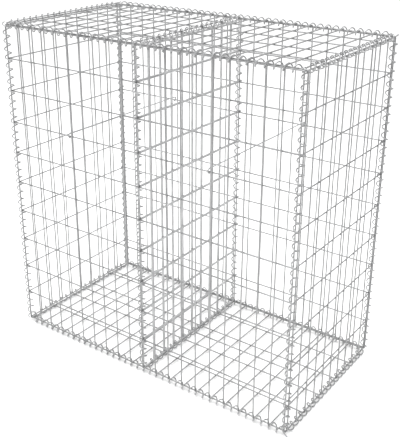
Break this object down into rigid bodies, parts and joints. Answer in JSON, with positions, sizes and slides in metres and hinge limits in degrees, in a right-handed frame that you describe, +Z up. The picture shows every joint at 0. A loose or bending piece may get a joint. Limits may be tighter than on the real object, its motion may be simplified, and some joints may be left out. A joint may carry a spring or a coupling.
{
  "type": "gabion basket",
  "caption": "Empty upright welded-mesh gabion basket with lid, base, a middle partition and a hooked tie in each cell, every edge laced with spiral wire.",
  "frame": {"origin": "middle of the footprint on the ground, under the lowest spirals", "axes": "+X along the length, +Y from the front long panel to the back one, +Z up"},
  "size_m": [1.032, 0.532, 1.0332],
  "materials": {
    "mesh_wire": "galvanised steel wire, welded mesh",
    "binder_wire": "galvanised steel wire"
  },
  "bodies": {
    "root": {"front_panel": "mesh_wire", "back_panel": "mesh_wire", "left_end_panel": "mesh_wire", "right_end_panel": "mesh_wire", "base_panel": "mesh_wire", "lid_panel": "mesh_wire", "partition_panel": "mesh_wire", "left_tie": "binder_wire", "right_tie": "binder_wire", "front_left_spiral": "binder_wire", "front_right_spiral": "binder_wire", "back_left_spiral": "binder_wire", "back_right_spiral": "binder_wire", "partition_front_spiral": "binder_wire", "partition_back_spiral": "binder_wire", "top_front_spiral": "binder_wire", "top_back_spiral": "binder_wire", "top_left_spiral": "binder_wire", "top_right_spiral": "binder_wire", "top_partition_spiral": "binder_wire", "bottom_front_spiral": "binder_wire", "bottom_back_spiral": "binder_wire", "bottom_left_spiral": "binder_wire", "bottom_right_spiral": "binder_wire", "bottom_partition_spiral": "binder_wire"}
  },
  "joints": []
}
